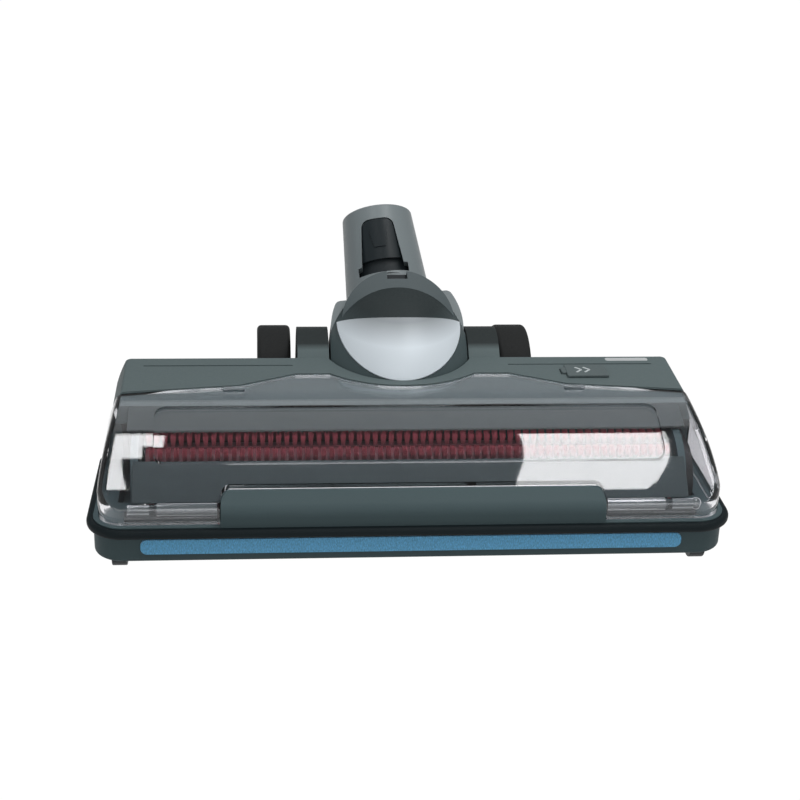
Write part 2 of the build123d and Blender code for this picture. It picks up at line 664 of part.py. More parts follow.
# Tilting drum
def drum_hood():
    # Round front between the arms, cut by the slot that the neck swings in
    reach = 3 * DRUM_R
    angles = [DRUM_FRONT_DEG + i * (DRUM_REAR_DEG - DRUM_FRONT_DEG) / 4 for i in range(5)]
    rim = [(TILT_Y - reach * cos(radians(a)), TILT_Z + reach * sin(radians(a))) for a in angles]
    sector = across(outline([(TILT_Y, TILT_Z)] + rim), DRUM_HALF)
    body = DRUM_CENTRE * drum_form(0) & sector
    body += DRUM_CENTRE * drum_form(DRUM_CORE_R - DRUM_R)
    body += x_rod(DRUM_HUB_R, -HUB_FACE_X, HUB_FACE_X, TILT_Y, TILT_Z)
    slot = y_rod(BARREL_R + BARREL_GAP, -SLOT_HALF, SLOT_HALF, SWIVEL_RISE)
    slot += block(-DRUM_R, DRUM_R, -SLOT_HALF, SLOT_HALF, SLOT_SIDE_Z, 2 * DRUM_R)
    pin_reach = SLOT_HALF + SWIVEL_PIN_LENGTH
    slot += y_rod(SWIVEL_PIN_R + RUN_CLEARANCE, -pin_reach, pin_reach, SWIVEL_RISE)
    body -= NECK_FRAME * slot
    body -= y_rod(DUCT_R, TILT_Y - DRUM_R, TILT_Y, DUCT_Z)
    for pin in tilt_pins().solids():
        body -= pin
    body -= NECK_FRAME * (plate_prism(PLATE_GAP) - drum_form(-PLATE_SUNK - GLUE_LINE))
    return body


def plate_prism(grow):
    # Outline of the plate seen from the front of the neck: sagging top edge, half-oval below
    half = PLATE_HALF_WIDTH + grow
    lower = EllipticalCenterArc((0, PLATE_TOP), half, PLATE_DROP + grow, start_angle=180, arc_size=180)
    upper = ThreePointArc((half, PLATE_TOP), (0, PLATE_TOP - PLATE_SAG + grow), (-half, PLATE_TOP))
    return from_front(make_face([lower, upper]), 2 * DRUM_R)


def silver_plate():
    return NECK_FRAME * (plate_prism(0) & (drum_form(PLATE_PROUD) - drum_form(-PLATE_SUNK)))


def collar():
    # Bezel round the neck: short rim behind, sloping nose down to the drum
    body = y_rod(COLLAR_R, -COLLAR_RIM_Y, -SLOT_HALF, SWIVEL_RISE)
    nose = Cone(COLLAR_R, COLLAR_NOSE_R, COLLAR_NOSE_Y - COLLAR_RIM_Y)
    body += Pos(0, -(COLLAR_RIM_Y + COLLAR_NOSE_Y) / 2, SWIVEL_RISE) * Rot(90, 0, 0) * nose
    body -= drum_form(GLUE_LINE)
    top = SWIVEL_RISE + COLLAR_R
    body = body & block(-COLLAR_R, COLLAR_R, -DRUM_R, 0, SWIVEL_RISE, top)
    half = NOTCH_WIDTH / 2
    body -= block(-half, half, -DRUM_R, 0, top - NOTCH_HEIGHT, top)
    return NECK_FRAME * body


def collar_catch():
    top = SWIVEL_RISE + COLLAR_R
    half = NOTCH_WIDTH / 2 - CATCH_GAP
    front = CATCH_SUNK - COLLAR_RIM_Y
    body = block(-half, half, front, -SLOT_HALF, top - NOTCH_HEIGHT, top - CATCH_SUNK)
    return NECK_FRAME * (body - drum_form(GLUE_LINE))


def tilt_pins():
    pin = x_rod(TILT_PIN_R, HUB_FACE_X - TILT_PIN_SEAT, ARM_OUTER_X - PARTING_GAP, TILT_Y, TILT_Z)
    return Compound([pin, mirror_x(pin)])


# Swivelling neck
def neck_tube():
    # Flat-shouldered barrel that swings in the drum, with the wand tube standing on it
    body = y_rod(BARREL_R, -BARREL_HALF, BARREL_HALF, 0)
    body -= block(-BARREL_R, BARREL_R, -BARREL_R, BARREL_R, SHOULDER_RISE, BARREL_R)
    body = fillet(body.edges().filter_by(Axis.Y).group_by(Axis.Z)[-1], SHOULDER_ROUND)
    tube = Pos(0, 0, NECK_LENGTH / 2) * Cone(TUBE_LOW_R, TUBE_TOP_R, NECK_LENGTH)
    tube = fillet(tube.edges().group_by(Axis.Z)[-1], TUBE_RIM_R)
    swing = y_rod(COLLAR_R + 2 * BARREL_GAP, -TUBE_LOW_R, TUBE_LOW_R, 0)
    tube -= swing - block(-DRUM_R, DRUM_R, -BARREL_HALF, BARREL_HALF, -DRUM_R, DRUM_R)
    body += tube
    body -= Pos(0, 0, NECK_LENGTH - SOCKET_DEPTH / 2) * Cylinder(SOCKET_R + SLEEVE_WALL, SOCKET_DEPTH)
    body -= Pos(0, 0, (NECK_LENGTH - BARREL_R) / 2) * Cylinder(DUCT_R, NECK_LENGTH + BARREL_R)
    body -= in_window(window_face())
    return SWIVEL_FRAME * body


def in_window(face):
    return Rot(0, 0, NECK_TURN) * from_front(face, 2 * TUBE_LOW_R)


def window_face():
    # Opening for the release button: round-topped, wider towards a stepped foot
    right = [
        (WINDOW_FOOT_HALF, WINDOW_LOW),
        (WINDOW_FOOT_HALF, WINDOW_STEP),
        (WINDOW_STEP_HALF, WINDOW_STEP),
        (WINDOW_TOP_HALF, WINDOW_HIGH),
    ]
    left = [(-x, z) for x, z in reversed(right)]
    face = outline(right + left)
    return fillet(face.vertices().group_by(Axis.Y)[-1], WINDOW_ROUND)


def button_face():
    # Fills the upper part of the window with the same slant
    share = (BUTTON_LOW - WINDOW_STEP) / (WINDOW_HIGH - WINDOW_STEP)
    low_half = WINDOW_STEP_HALF + share * (WINDOW_TOP_HALF - WINDOW_STEP_HALF) - BUTTON_GAP
    high_half = WINDOW_TOP_HALF - BUTTON_GAP
    high = WINDOW_HIGH - BUTTON_GAP
    face = outline([(-low_half, BUTTON_LOW), (low_half, BUTTON_LOW), (high_half, high), (-high_half, high)])
    return fillet(face.vertices().group_by(Axis.Y)[-1], WINDOW_ROUND - BUTTON_GAP)


def release_button():
    inner = SOCKET_R + SLEEVE_WALL + BUTTON_TRAVEL + 2 * RUN_CLEARANCE
    outer = inner + BUTTON_THICK
    body = in_window(button_face()) & Cylinder(outer, 3 * NECK_LENGTH)
    right = [(PAD_LOW_HALF, PAD_LOW), (PAD_HIGH_HALF, PAD_HIGH)]
    pad = right + [(-x, z) for x, z in reversed(right)]
    body += in_window(outline(pad)) & Cylinder(outer + PAD_PROUD, 3 * NECK_LENGTH)
    return SWIVEL_FRAME * (body - Cylinder(inner, 3 * NECK_LENGTH))


def wand_sleeve():
    body = Cylinder(SOCKET_R + SLEEVE_WALL, SOCKET_DEPTH) - Cylinder(SOCKET_R, SOCKET_DEPTH)
    return SWIVEL_FRAME * Pos(0, 0, NECK_LENGTH - SOCKET_DEPTH / 2) * body


def swivel_pins():
    pin = y_rod(SWIVEL_PIN_R, -BARREL_HALF - SWIVEL_PIN_LENGTH, -BARREL_HALF, 0)
    return Compound([SWIVEL_FRAME * pin, SWIVEL_FRAME * mirror(pin, about=Plane.XZ)])


for make in (
    base_housing,
    rear_deck,
    clear_cover,
    front_bumper,
    velour_strip,
    status_lens,
    roller_core,
    bristle_tufts,
    roller_pulley,
    drive_belt,
    motor,
    motor_pulley,
    circuit_board,
    housing_screws,
    cover_latch,
    drum_hood,
    silver_plate,
    collar,
    collar_catch,
    tilt_pins,
    neck_tube,
    wand_sleeve,
    swivel_pins,
    release_button,
):
    keep(make.__name__, make())
for word, side in (("left", -1), ("right", 1)):
    keep("corner_light_" + word, corner_light(side))
    keep("roller_bearing_" + word, bearing(side))
    keep("rear_axle_" + word, rear_axle(side))
    keep("wheel_rim_" + word, wheel_rim(side))
    keep("wheel_tyre_" + word, wheel_tyre(side))
    keep("front_roller_" + word, front_roller(side))
    keep("front_pin_" + word, foot_pin(side))

# Origin under the middle of the head
boxes = [shape.bounding_box() for shape in PIECES.values()]
front = min(box.min.Y for box in boxes)
rear = max(box.max.Y for box in boxes)
middle = Pos(0, -(front + rear) / 2, 0)
print("front", front, "rear", rear, "moved", middle.position)
os.makedirs("parts", exist_ok=True)
for name, shape in PIECES.items():
    export_step(middle * shape, "parts/" + name + ".step")
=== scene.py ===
# %% [markdown]
# # A vacuum floor head, dressed
# The construction comes in as a fixed frame: every solid is already at its real size and place.
# This lesson gives each solid its finish, models what a solid cannot show well, such as bristles
# and printed arrows, and sets up the light and the camera of a plain catalogue picture.

# %% Load the frame
import bpy
import math
from mathutils import Matrix, Vector


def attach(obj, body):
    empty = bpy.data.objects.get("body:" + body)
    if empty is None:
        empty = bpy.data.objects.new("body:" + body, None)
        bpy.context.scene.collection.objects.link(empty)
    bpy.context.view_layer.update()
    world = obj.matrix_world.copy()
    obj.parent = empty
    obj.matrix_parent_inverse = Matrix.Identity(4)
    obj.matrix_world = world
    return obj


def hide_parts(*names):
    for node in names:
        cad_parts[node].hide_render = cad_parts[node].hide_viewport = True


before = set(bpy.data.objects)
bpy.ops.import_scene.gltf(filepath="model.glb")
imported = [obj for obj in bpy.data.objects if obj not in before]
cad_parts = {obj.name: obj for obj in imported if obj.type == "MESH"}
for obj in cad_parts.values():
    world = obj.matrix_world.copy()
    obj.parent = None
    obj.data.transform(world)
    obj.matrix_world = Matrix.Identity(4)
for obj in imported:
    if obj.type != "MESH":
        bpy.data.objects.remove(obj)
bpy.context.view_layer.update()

MM = 0.001


# %% [markdown]
# ## Camera
# The photograph looks down at the head from the front, a little from its left. A long lens keeps
# the two ends nearly the same size. The camera's three axes are worked out from its height angle,
# its side angle and a slight roll, and go straight into its matrix.

# %% Place the camera
LOOK_AT = Vector((-1.92, -22.413, 48.16)) * MM
DISTANCE = 697.4 * MM
ELEVATION = math.radians(25.0)
AZIMUTH = math.radians(-5.62)
ROLL = math.radians(2.01)
FIELD = 2 * math.atan(400 / 1644)


def place_camera():
    back = Vector((
        math.sin(AZIMUTH) * math.cos(ELEVATION),
        -math.cos(AZIMUTH) * math.cos(ELEVATION),
        math.sin(ELEVATION),
    ))
    level = Vector((math.cos(AZIMUTH), math.sin(AZIMUTH), 0))
    up = back.cross(level)
    right = level * math.cos(ROLL) + up * math.sin(ROLL)
    up = up * math.cos(ROLL) - level * math.sin(ROLL)
    data = bpy.data.cameras.new("camera")
    data.angle = FIELD
    data.clip_start = 0.01
    camera = bpy.data.objects.new("camera", data)
    bpy.context.collection.objects.link(camera)
    turn = Matrix((right, up, back)).transposed().to_4x4()
    camera.matrix_world = Matrix.Translation(LOOK_AT + back * DISTANCE) @ turn
    bpy.context.scene.camera = camera
    return camera


print("camera at", place_camera().matrix_world.translation)


# %% [markdown]
# ## Light and floor
# A wide soft box hangs over the right end, and three narrow ones in steps over the left end. Their
# reflections are the white patches on the clear cover, and the dark gap between them lets the red
# roller show in the middle. A weak panel behind and one in front fill the shadows. The floor is pale,
# and seen directly it is lifted to white.

# %% Soft boxes, world and floor
BOX_HEIGHT = 0.65
BOX_RADIANCE = 9.6
HORIZON_LOW = 0.45
HORIZON_HIGH = 0.85
BEHIND_SHARE = 0.45
FLOOR_GREY = 0.25
FLOOR_GLOW = 1.03
GLOW_SHARE = 0.985
bpy.context.scene.view_settings.view_transform = "Standard"


def soft_box(name, centre, size_x, size_y, radiance, tilt=0.0):
    data = bpy.data.lights.new(name, "AREA")
    data.shape = "RECTANGLE"
    data.size = size_x
    data.size_y = size_y
    data.energy = radiance * math.pi * size_x * size_y
    lamp = bpy.data.objects.new(name, data)
    bpy.context.collection.objects.link(lamp)
    lamp.location = centre
    lamp.rotation_euler = (math.radians(tilt), 0, 0)
    return lamp


def maths(tree, operation):
    node = tree.nodes.new("ShaderNodeMath")
    node.operation = operation
    return node


def set_world(fill, low, high):
    # Even fill for the matt parts; mirrors see a pale horizon in front, under a dim ceiling
    world = bpy.data.worlds.new("studio")
    world.use_nodes = True
    tree = world.node_tree
    link = tree.links.new
    even = tree.nodes["Background"]
    even.inputs["Color"].default_value = (0.93, 0.96, 1.0, 1)
    even.inputs["Strength"].default_value = fill
    mirrored = tree.nodes.new("ShaderNodeBackground")
    mirrored.inputs["Color"].default_value = (0.95, 0.98, 1.0, 1)
    place = tree.nodes.new("ShaderNodeTexCoord")
    split = tree.nodes.new("ShaderNodeSeparateXYZ")
    height = tree.nodes.new("ShaderNodeMapRange")
    height.interpolation_type = "SMOOTHSTEP"
    height.inputs["From Min"].default_value = HORIZON_LOW
    height.inputs["From Max"].default_value = HORIZON_HIGH
    height.inputs["To Min"].default_value = low
    height.inputs["To Max"].default_value = high
    behind = tree.nodes.new("ShaderNodeMapRange")
    behind.inputs["From Min"].default_value = 0.0
    behind.inputs["From Max"].default_value = 0.5
    behind.inputs["To Min"].default_value = 1.0
    behind.inputs["To Max"].default_value = BEHIND_SHARE
    both = maths(tree, "MULTIPLY")
    path = tree.nodes.new("ShaderNodeLightPath")
    mix = tree.nodes.new("ShaderNodeMixShader")
    link(place.outputs["Generated"], split.inputs["Vector"])
    link(split.outputs["Z"], height.inputs["Value"])
    link(split.outputs["Y"], behind.inputs["Value"])
    link(height.outputs["Result"], both.inputs[0])
    link(behind.outputs["Result"], both.inputs[1])
    link(both.outputs["Value"], mirrored.inputs["Strength"])
    link(path.outputs["Is Glossy Ray"], mix.inputs["Fac"])
    link(even.outputs["Background"], mix.inputs[1])
    link(mirrored.outputs["Background"], mix.inputs[2])
    # Beyond the floor's edge the picture stays white
    backdrop = tree.nodes.new("ShaderNodeBackground")
    backdrop.inputs["Color"].default_value = (1, 1, 1, 1)
    shown = tree.nodes.new("ShaderNodeMixShader")
    link(path.outputs["Is Camera Ray"], shown.inputs["Fac"])
    link(mix.outputs["Shader"], shown.inputs[1])
    link(backdrop.outputs["Background"], shown.inputs[2])
    link(shown.outputs["Shader"], tree.nodes["World Output"].inputs["Surface"])
    bpy.context.scene.world = world


def new_material(name):
    material = bpy.data.materials.new(name)
    material.use_nodes = True
    tree = material.node_tree
    return material, tree, tree.nodes["Principled BSDF"]


def pale_floor(half):
    bpy.ops.object.select_all(action="DESELECT")
    bpy.ops.mesh.primitive_plane_add(size=2 * half, location=(0, 0, 0))
    floor = bpy.context.object
    floor.name = "floor"
    material, tree, shader = new_material("pale_floor")
    link = tree.links.new
    shader.inputs["Base Color"].default_value = (FLOOR_GREY, FLOOR_GREY, FLOOR_GREY, 1)
    shader.inputs["Roughness"].default_value = 0.9
    glow = tree.nodes.new("ShaderNodeEmission")
    glow.inputs["Color"].default_value = (1, 1, 1, 1)
    glow.inputs["Strength"].default_value = FLOOR_GLOW
    path = tree.nodes.new("ShaderNodeLightPath")
    direct = maths(tree, "MAXIMUM")
    shown = maths(tree, "MAXIMUM")
    share = maths(tree, "MULTIPLY")
    share.inputs[1].default_value = GLOW_SHARE
    mix = tree.nodes.new("ShaderNodeMixShader")
    link(path.outputs["Is Camera Ray"], direct.inputs[0])
    link(path.outputs["Is Transmission Ray"], direct.inputs[1])
    link(direct.outputs["Value"], shown.inputs[0])
    link(path.outputs["Is Glossy Ray"], shown.inputs[1])
    link(shown.outputs["Value"], share.inputs[0])
    link(share.outputs["Value"], mix.inputs["Fac"])
    link(shader.outputs["BSDF"], mix.inputs[1])
    link(glow.outputs["Emission"], mix.inputs[2])
    link(mix.outputs["Shader"], tree.nodes["Material Output"].inputs["Surface"])
    floor.data.materials.append(material)
    return floor


set_world(fill=0.335, low=0.85, high=0.20)
pale_floor(half=6.0)
soft_box("right_soft_box", (0.204, -0.135, BOX_HEIGHT), 0.116, 0.50, BOX_RADIANCE)
soft_box("left_soft_box", (-0.166, 0.075, BOX_HEIGHT), 0.066, 0.11, BOX_RADIANCE)
soft_box("left_middle_strip", (-0.174, -0.03, BOX_HEIGHT), 0.050, 0.10, BOX_RADIANCE)
soft_box("left_side_strip", (-0.182, -0.205, BOX_HEIGHT), 0.034, 0.25, BOX_RADIANCE)
soft_box("rear_panel", (0.0, 0.40, BOX_HEIGHT), 0.80, 0.48, radiance=0.7)
soft_box("front_fill", (0.0, -1.3, 0.7), 1.2, 0.5, radiance=1.6, tilt=60.0)


# %% [markdown]
# ## Shared shader effects
# Moulded plastic is never one flat colour: the tool leaves a fine spark-eroded grain, and the tint
# drifts a little over a large part. Both effects serve several finishes, so each is a node group
# with named inputs, built once and placed in every material with its own values.

# %% Node groups for grain and drift
def new_group(name, inputs, outputs):
    group = bpy.data.node_groups.new(name, "ShaderNodeTree")
    for label, kind, value in inputs:
        socket = group.interface.new_socket(label, in_out="INPUT", socket_type=kind)
        socket.default_value = value
    for label, kind in outputs:
        group.interface.new_socket(label, in_out="OUTPUT", socket_type=kind)
    return group, group.nodes.new("NodeGroupInput"), group.nodes.new("NodeGroupOutput")


def grain_group():
    # Fine speckle in object space: a height for bump and a roughness that follows it
    group, given, result = new_group(
        "moulded_grain",
        [("Scale", "NodeSocketFloat", 900.0), ("Rough Low", "NodeSocketFloat", 0.35),
         ("Rough High", "NodeSocketFloat", 0.5)],
        [("Height", "NodeSocketFloat"), ("Roughness", "NodeSocketFloat")],
    )
    place = group.nodes.new("ShaderNodeTexCoord")
    noise = group.nodes.new("ShaderNodeTexNoise")
    noise.inputs["Detail"].default_value = 3.0
    spread = group.nodes.new("ShaderNodeMapRange")
    link = group.links.new
    link(place.outputs["Object"], noise.inputs["Vector"])
    link(given.outputs["Scale"], noise.inputs["Scale"])
    link(noise.outputs["Fac"], result.inputs["Height"])
    link(noise.outputs["Fac"], spread.inputs["Value"])
    spread.inputs["From Min"].default_value = 0.3
    spread.inputs["From Max"].default_value = 0.7
    link(given.outputs["Rough Low"], spread.inputs["To Min"])
    link(given.outputs["Rough High"], spread.inputs["To Max"])
    link(spread.outputs["Result"], result.inputs["Roughness"])
    return group


def colour_mix(tree):
    # A Mix node has one set of sockets per kind of value: these four serve colours
    node = tree.nodes.new("ShaderNodeMix")
    node.data_type = "RGBA"
    return node.inputs[0], node.inputs[6], node.inputs[7], node.outputs[2]


def drift_group():
    # Slow change between two tints of one colour over the part
    group, given, result = new_group(
        "tint_drift",
        [("Tint A", "NodeSocketColor", (0.5, 0.5, 0.5, 1)),
         ("Tint B", "NodeSocketColor", (0.5, 0.5, 0.5, 1)),
         ("Scale", "NodeSocketFloat", 14.0)],
        [("Color", "NodeSocketColor")],
    )
    place = group.nodes.new("ShaderNodeTexCoord")
    noise = group.nodes.new("ShaderNodeTexNoise")
    noise.inputs["Detail"].default_value = 4.0
    factor, tint_a, tint_b, mixed = colour_mix(group)
    link = group.links.new
    link(place.outputs["Object"], noise.inputs["Vector"])
    link(given.outputs["Scale"], noise.inputs["Scale"])
    link(noise.outputs["Fac"], factor)
    link(given.outputs["Tint A"], tint_a)
    link(given.outputs["Tint B"], tint_b)
    link(mixed, result.inputs["Color"])
    return group


GRAIN = grain_group()
DRIFT = drift_group()
print("groups:", GRAIN.name, DRIFT.name)


# %% [markdown]
# ## Moulded finishes
# Most of the head is satin ABS in slate tones. One function makes each such finish: a tint that
# drifts between two close colours, a roughness that follows the grain, and a shallow bump. Values
# that are the same all over, such as the specular level, sit on the shader's own sockets. Three of
# them also get painted shade, darker along one axis: the deck on its rear faces, the hood towards
# its crown and the silver plate towards its upper edge.

# %% Finishes with grain
ROUGH_SPREAD = 0.05
GRAIN_DEPTH = 0.4 * MM


def shade(colour, factor):
    return tuple(min(1.0, c * factor) for c in colour) + (1.0,)


def grained(name, colour, rough, grain_scale=900.0, bump=0.08, drift=0.07, **sockets):
    material, tree, shader = new_material(name)
    link = tree.links.new
    tint = tree.nodes.new("ShaderNodeGroup")
    tint.node_tree = DRIFT
    tint.inputs["Tint A"].default_value = shade(colour, 1 - drift)
    tint.inputs["Tint B"].default_value = shade(colour, 1 + drift)
    grain = tree.nodes.new("ShaderNodeGroup")
    grain.node_tree = GRAIN
    grain.inputs["Scale"].default_value = grain_scale
    grain.inputs["Rough Low"].default_value = rough - ROUGH_SPREAD
    grain.inputs["Rough High"].default_value = rough + ROUGH_SPREAD
    dents = tree.nodes.new("ShaderNodeBump")
    dents.inputs["Strength"].default_value = bump
    dents.inputs["Distance"].default_value = GRAIN_DEPTH
    link(tint.outputs["Color"], shader.inputs["Base Color"])
    link(grain.outputs["Roughness"], shader.inputs["Roughness"])
    link(grain.outputs["Height"], dents.inputs["Height"])
    link(dents.outputs["Normal"], shader.inputs["Normal"])
    for label, value in sockets.items():
        shader.inputs[label.replace("_", " ")].default_value = value
    return material


def paint_shade_along(material, axis, start, end, factor):
    # Painted shade: the tint falls off along one axis of the part, from full at the start to a share at the
    # end
    tree = material.node_tree
    link = tree.links.new
    shader = tree.nodes["Principled BSDF"]
    tint = shader.inputs["Base Color"].links[0].from_socket
    place = tree.nodes.new("ShaderNodeTexCoord")
    split = tree.nodes.new("ShaderNodeSeparateXYZ")
    fade = tree.nodes.new("ShaderNodeMapRange")
    fade.inputs["From Min"].default_value = start
    fade.inputs["From Max"].default_value = end
    fade.inputs["To Min"].default_value = 1.0
    fade.inputs["To Max"].default_value = factor
    dim = tree.nodes.new("ShaderNodeVectorMath")
    dim.operation = "SCALE"
    link(place.outputs["Object"], split.inputs["Vector"])
    link(split.outputs[axis], fade.inputs["Value"])
    link(tint, dim.inputs[0])
    link(fade.outputs["Result"], dim.inputs["Scale"])
    link(dim.outputs["Vector"], shader.inputs["Base Color"])


SLATE = grained("slate_plastic", (0.066, 0.098, 0.104), 0.60, Specular_IOR_Level=0.2)
DECK = grained("deck_plastic", (0.106, 0.138, 0.140), 0.60, Specular_IOR_Level=0.2)
# Painted shade: from Y = 10 mm to 13 mm the deck's tint falls to a fifth, darkening its rear faces
paint_shade_along(DECK, "Y", start=10 * MM, end=13 * MM, factor=0.20)
UNDER = grained("chamber_plastic", (0.046, 0.062, 0.064), 0.60, Specular_IOR_Level=0.2)
HOOD = grained("hood_plastic", (0.070, 0.096, 0.100), 0.55, Specular_IOR_Level=0.2)
# Painted shade: the hood's tint falls to 30 % towards its crown, from Z = 62 mm to 76 mm
paint_shade_along(HOOD, "Z", start=62 * MM, end=76 * MM, factor=0.30)
NECK_GREY = grained("grey_plastic", (0.185, 0.215, 0.222), 0.45)
COLLAR = grained("collar_plastic", (0.085, 0.105, 0.110), 0.55, Specular_IOR_Level=0.25)
LATCH = grained("latch_plastic", (0.096, 0.122, 0.124), 0.55, Specular_IOR_Level=0.25)
BLACK = grained("black_plastic", (0.014, 0.019, 0.022), 0.50, Specular_IOR_Level=0.25)
BUTTON = grained("button_plastic", (0.012, 0.018, 0.021), 0.40, bump=0.0, Specular_IOR_Level=0.2)
BUMPER = grained("soft_rubber", (0.006, 0.011, 0.013), 0.60, grain_scale=1400.0, bump=0.12,
                 Specular_IOR_Level=0.15)
TYRE = grained("tyre_rubber", (0.016, 0.017, 0.017), 0.70, grain_scale=1200.0, bump=0.2,
               Specular_IOR_Level=0.2)
RIM = grained("rim_plastic", (0.030, 0.033, 0.035), 0.42)
BELT = grained("belt_rubber", (0.012, 0.012, 0.012), 0.6)
BOARD = grained("lacquered_board", (0.02, 0.13, 0.06), 0.3)
STATUS = grained("status_lens", (0.50, 0.52, 0.52), 0.2, bump=0.0)
CORE = grained("roller_plastic", (0.170, 0.046, 0.056), 0.5, Specular_IOR_Level=0.25)
STEEL = grained("turned_steel", (0.56, 0.56, 0.57), 0.3, bump=0.03, drift=0.03, Metallic=1.0)
SILVER = grained("silver_lacquer", (0.76, 0.82, 0.86), 0.50, grain_scale=1600.0, bump=0.0, drift=0.015,
                 Metallic=0.15, Specular_IOR_Level=0.2)
# Painted shade: the plate's tint falls to 40 % towards its upper edge, from Z = 67 mm to 75 mm
paint_shade_along(SILVER, "Z", start=67 * MM, end=75 * MM, factor=0.40)
print("finishes:", len(bpy.data.materials))


# %% [markdown]
# ## Clear cover and lenses
# The cover is polished clear plastic with a faint smoke tint. As real glass in a path tracer it
# would throw a black shadow into the brush chamber, so for shadow rays alone the material turns
# into a plain tinted filter, and the lamps reach the roller. The two corner bars are light pipes:
# clear rods whose colour is painted, with a painted highlight along their rims over a dark middle.

# %% Clear finishes
BAR_FOOT_Z = 24.0 * MM
BAR_JOINT_X = 103.6 * MM
BAR_JOINT_HALF = 1.5 * MM


def clear(name, tint, filter_tint, rough, index):
    material, tree, shader = new_material(name)
    link = tree.links.new
    shader.inputs["Base Color"].default_value = tint
    shader.inputs["Roughness"].default_value = rough
    shader.inputs["IOR"].default_value = index
    shader.inputs["Transmission Weight"].default_value = 1.0
    pane = tree.nodes.new("ShaderNodeBsdfTransparent")
    pane.inputs["Color"].default_value = filter_tint
    path = tree.nodes.new("ShaderNodeLightPath")
    mix = tree.nodes.new("ShaderNodeMixShader")
    link(path.outputs["Is Shadow Ray"], mix.inputs["Fac"])
    link(shader.outputs["BSDF"], mix.inputs[1])
    link(pane.outputs["BSDF"], mix.inputs[2])
    link(mix.outputs["Shader"], tree.nodes["Material Output"].inputs["Surface"])
    return material


def light_pipe(name, core, rim, foot):
    # Painted highlight: by the facing angle the rim is bright and the core dark; the bar's foot and one
    # joint on it are dark
    material, tree, shader = new_material(name)
    link = tree.links.new
    shader.inputs["Roughness"].default_value = 0.12
    shader.inputs["Coat Weight"].default_value = 1.0
    facing = tree.nodes.new("ShaderNodeLayerWeight")
    facing.inputs["Blend"].default_value = 0.5
    rim_highlight_ramp = tree.nodes.new("ShaderNodeValToRGB")
    rim_highlight_ramp.color_ramp.elements[0].position = 0.42
    rim_highlight_ramp.color_ramp.elements[0].color = core
    rim_highlight_ramp.color_ramp.elements[1].position = 0.62
    rim_highlight_ramp.color_ramp.elements[1].color = rim
    place = tree.nodes.new("ShaderNodeTexCoord")
    split = tree.nodes.new("ShaderNodeSeparateXYZ")
    above = maths(tree, "GREATER_THAN")
    above.inputs[1].default_value = BAR_FOOT_Z
    side = maths(tree, "ABSOLUTE")
    joint = maths(tree, "COMPARE")
    joint.inputs[1].default_value = BAR_JOINT_X
    joint.inputs[2].default_value = BAR_JOINT_HALF
    shown = maths(tree, "SUBTRACT")
    shown.use_clamp = True
    factor, dark, lit, mixed = colour_mix(tree)
    dark.default_value = foot
    link(facing.outputs["Facing"], rim_highlight_ramp.inputs["Fac"])
    link(place.outputs["Object"], split.inputs["Vector"])
    link(split.outputs["Z"], above.inputs[0])
    link(split.outputs["X"], side.inputs[0])
    link(side.outputs["Value"], joint.inputs[0])
    link(above.outputs["Value"], shown.inputs[0])
    link(joint.outputs["Value"], shown.inputs[1])
    link(shown.outputs["Value"], factor)
    link(rim_highlight_ramp.outputs["Color"], lit)
    link(mixed, shader.inputs["Base Color"])
    link(shown.outputs["Value"], shader.inputs["Specular IOR Level"])
    return material


# The rim colour is the painted highlight, and the core colour is the rod's dark middle
BAR = light_pipe(
    "lens_plastic", core=(0.10, 0.12, 0.12, 1), rim=(0.86, 0.88, 0.88, 1), foot=(0.03, 0.04, 0.042, 1))
CLEAR = clear(
    "clear_plastic", tint=(0.86, 0.86, 0.885, 1), filter_tint=(0.82, 0.82, 0.85, 1), rough=0.02, index=1.49)
print("clear:", CLEAR.name, BAR.name)


# %% [markdown]
# ## Blue velour
# The strip along the front is short-pile velour glued to the sole's edge. Pile catches light at
# its tips, so the shader has sheen, and a stretched noise gives the nap its direction.

# %% Velour finish
def velour(name, colour):
    material, tree, shader = new_material(name)
    link = tree.links.new
    shader.inputs["Roughness"].default_value = 0.85
    shader.inputs["Sheen Weight"].default_value = 0.4
    shader.inputs["Sheen Roughness"].default_value = 0.5
    place = tree.nodes.new("ShaderNodeTexCoord")
    stretch = tree.nodes.new("ShaderNodeMapping")
    stretch.inputs["Scale"].default_value = (1.0, 1.0, 0.35)
    nap = tree.nodes.new("ShaderNodeTexNoise")
    nap.inputs["Scale"].default_value = 2600.0
    nap.inputs["Detail"].default_value = 2.0
    ramp = tree.nodes.new("ShaderNodeValToRGB")
    ramp.color_ramp.elements[0].position = 0.3
    ramp.color_ramp.elements[0].color = shade(colour, 0.72)
    ramp.color_ramp.elements[1].position = 0.72
    ramp.color_ramp.elements[1].color = shade(colour, 1.25)
    dents = tree.nodes.new("ShaderNodeBump")
    dents.inputs["Strength"].default_value = 0.5
    dents.inputs["Distance"].default_value = 0.0006
    link(place.outputs["Object"], stretch.inputs["Vector"])
    link(stretch.outputs["Vector"], nap.inputs["Vector"])
    link(nap.outputs["Fac"], ramp.inputs["Fac"])
    link(ramp.outputs["Color"], shader.inputs["Base Color"])
    link(nap.outputs["Fac"], dents.inputs["Height"])
    link(dents.outputs["Normal"], shader.inputs["Normal"])
    return material


VELOUR = velour("blue_velour", (0.160, 0.500, 0.800))
print("velour:", VELOUR.name)


# %% [markdown]
# ## Dressing the solids
# Each solid already has its form, so it only gets a finish in its material slot. The table says
# which finish each node wears.

